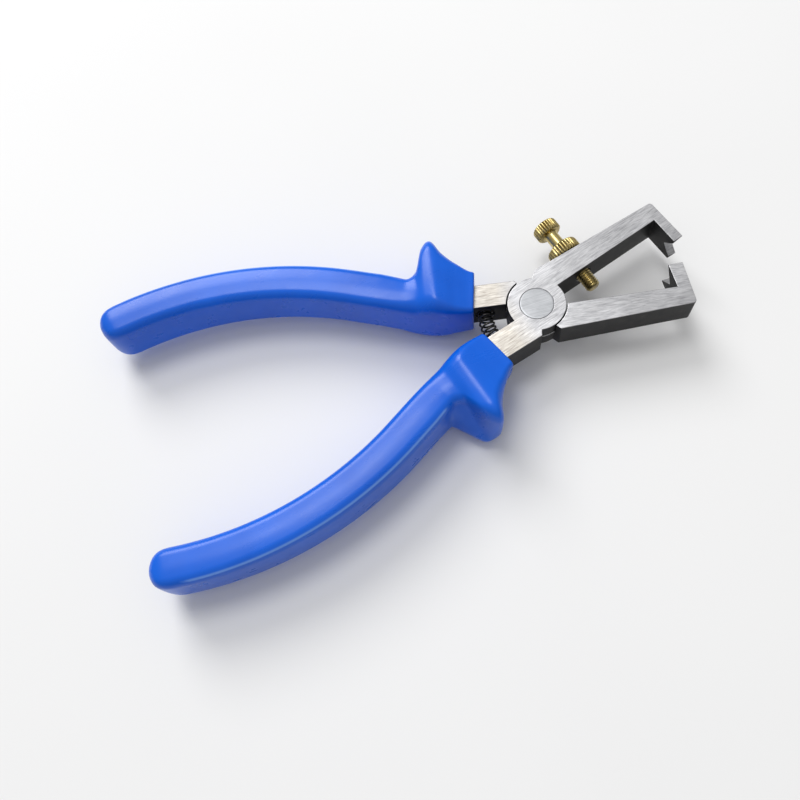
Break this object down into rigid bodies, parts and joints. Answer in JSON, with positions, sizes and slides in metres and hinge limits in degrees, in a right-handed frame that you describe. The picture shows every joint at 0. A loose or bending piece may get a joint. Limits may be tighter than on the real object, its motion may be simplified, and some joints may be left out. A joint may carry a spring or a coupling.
{
  "type": "wire stripper",
  "caption": "Hand wire stripper with two crossed levers, hooked V-notch jaws, adjusting screw, opening spring and curved moulded grips.",
  "frame": {"origin": "on the pivot axis, at the underside of the head, where the rivet's lower face lies flush", "axes": "+X from the pivot towards the jaws along the line midway between the two levers, +Y towards the screw lever's jaw, +Z along the pivot axis towards the screw lever's boss"},
  "size_m": [0.155, 0.0813, 0.0197],
  "materials": {
    "ground_steel": "surface-ground faces, black oxide edges",
    "rivet_steel": "ground flush",
    "blue_plastic": "semi-gloss moulded PVC",
    "brass": "turned and knurled, slightly dulled",
    "spring_steel": "dark spring wire"
  },
  "bodies": {
    "screw_side": {"screw_lever": "ground_steel", "screw_lever_grip": "blue_plastic", "pivot_rivet": "rivet_steel", "opening_spring": "spring_steel"},
    "plain_side": {"plain_lever": "ground_steel", "plain_lever_grip": "blue_plastic"},
    "nut": {"lock_nut": "brass"},
    "screw": {"adjusting_screw": "brass"}
  },
  "joints": [
    {"name": "jaw_pivot", "type": "hinge", "parent": "screw_side", "child": "plain_side", "pos_m": [0, 0, 0.00435], "axis": [0, 0, 1], "range_deg": [0, 16.5], "stiffness_Nm_per_rad": 1.5, "springref_deg": -5.73, "deforming": ["opening_spring"]},
    {"name": "screw_turn", "type": "hinge", "parent": "screw_side", "child": "nut", "pos_m": [0.01605, 0.00381, 0.00435], "axis": [0.2309, -0.973, 0], "range_deg": [-2165, 5]},
    {"name": "screw_travel", "type": "slide", "parent": "nut", "child": "screw", "axis": [0.2309, -0.973, 0], "range_m": [-0.0042, 0]}
  ],
  "couplings": [
    {"joint": "screw_turn", "follows": "screw_travel", "rad_per_m": 8976}
  ]
}
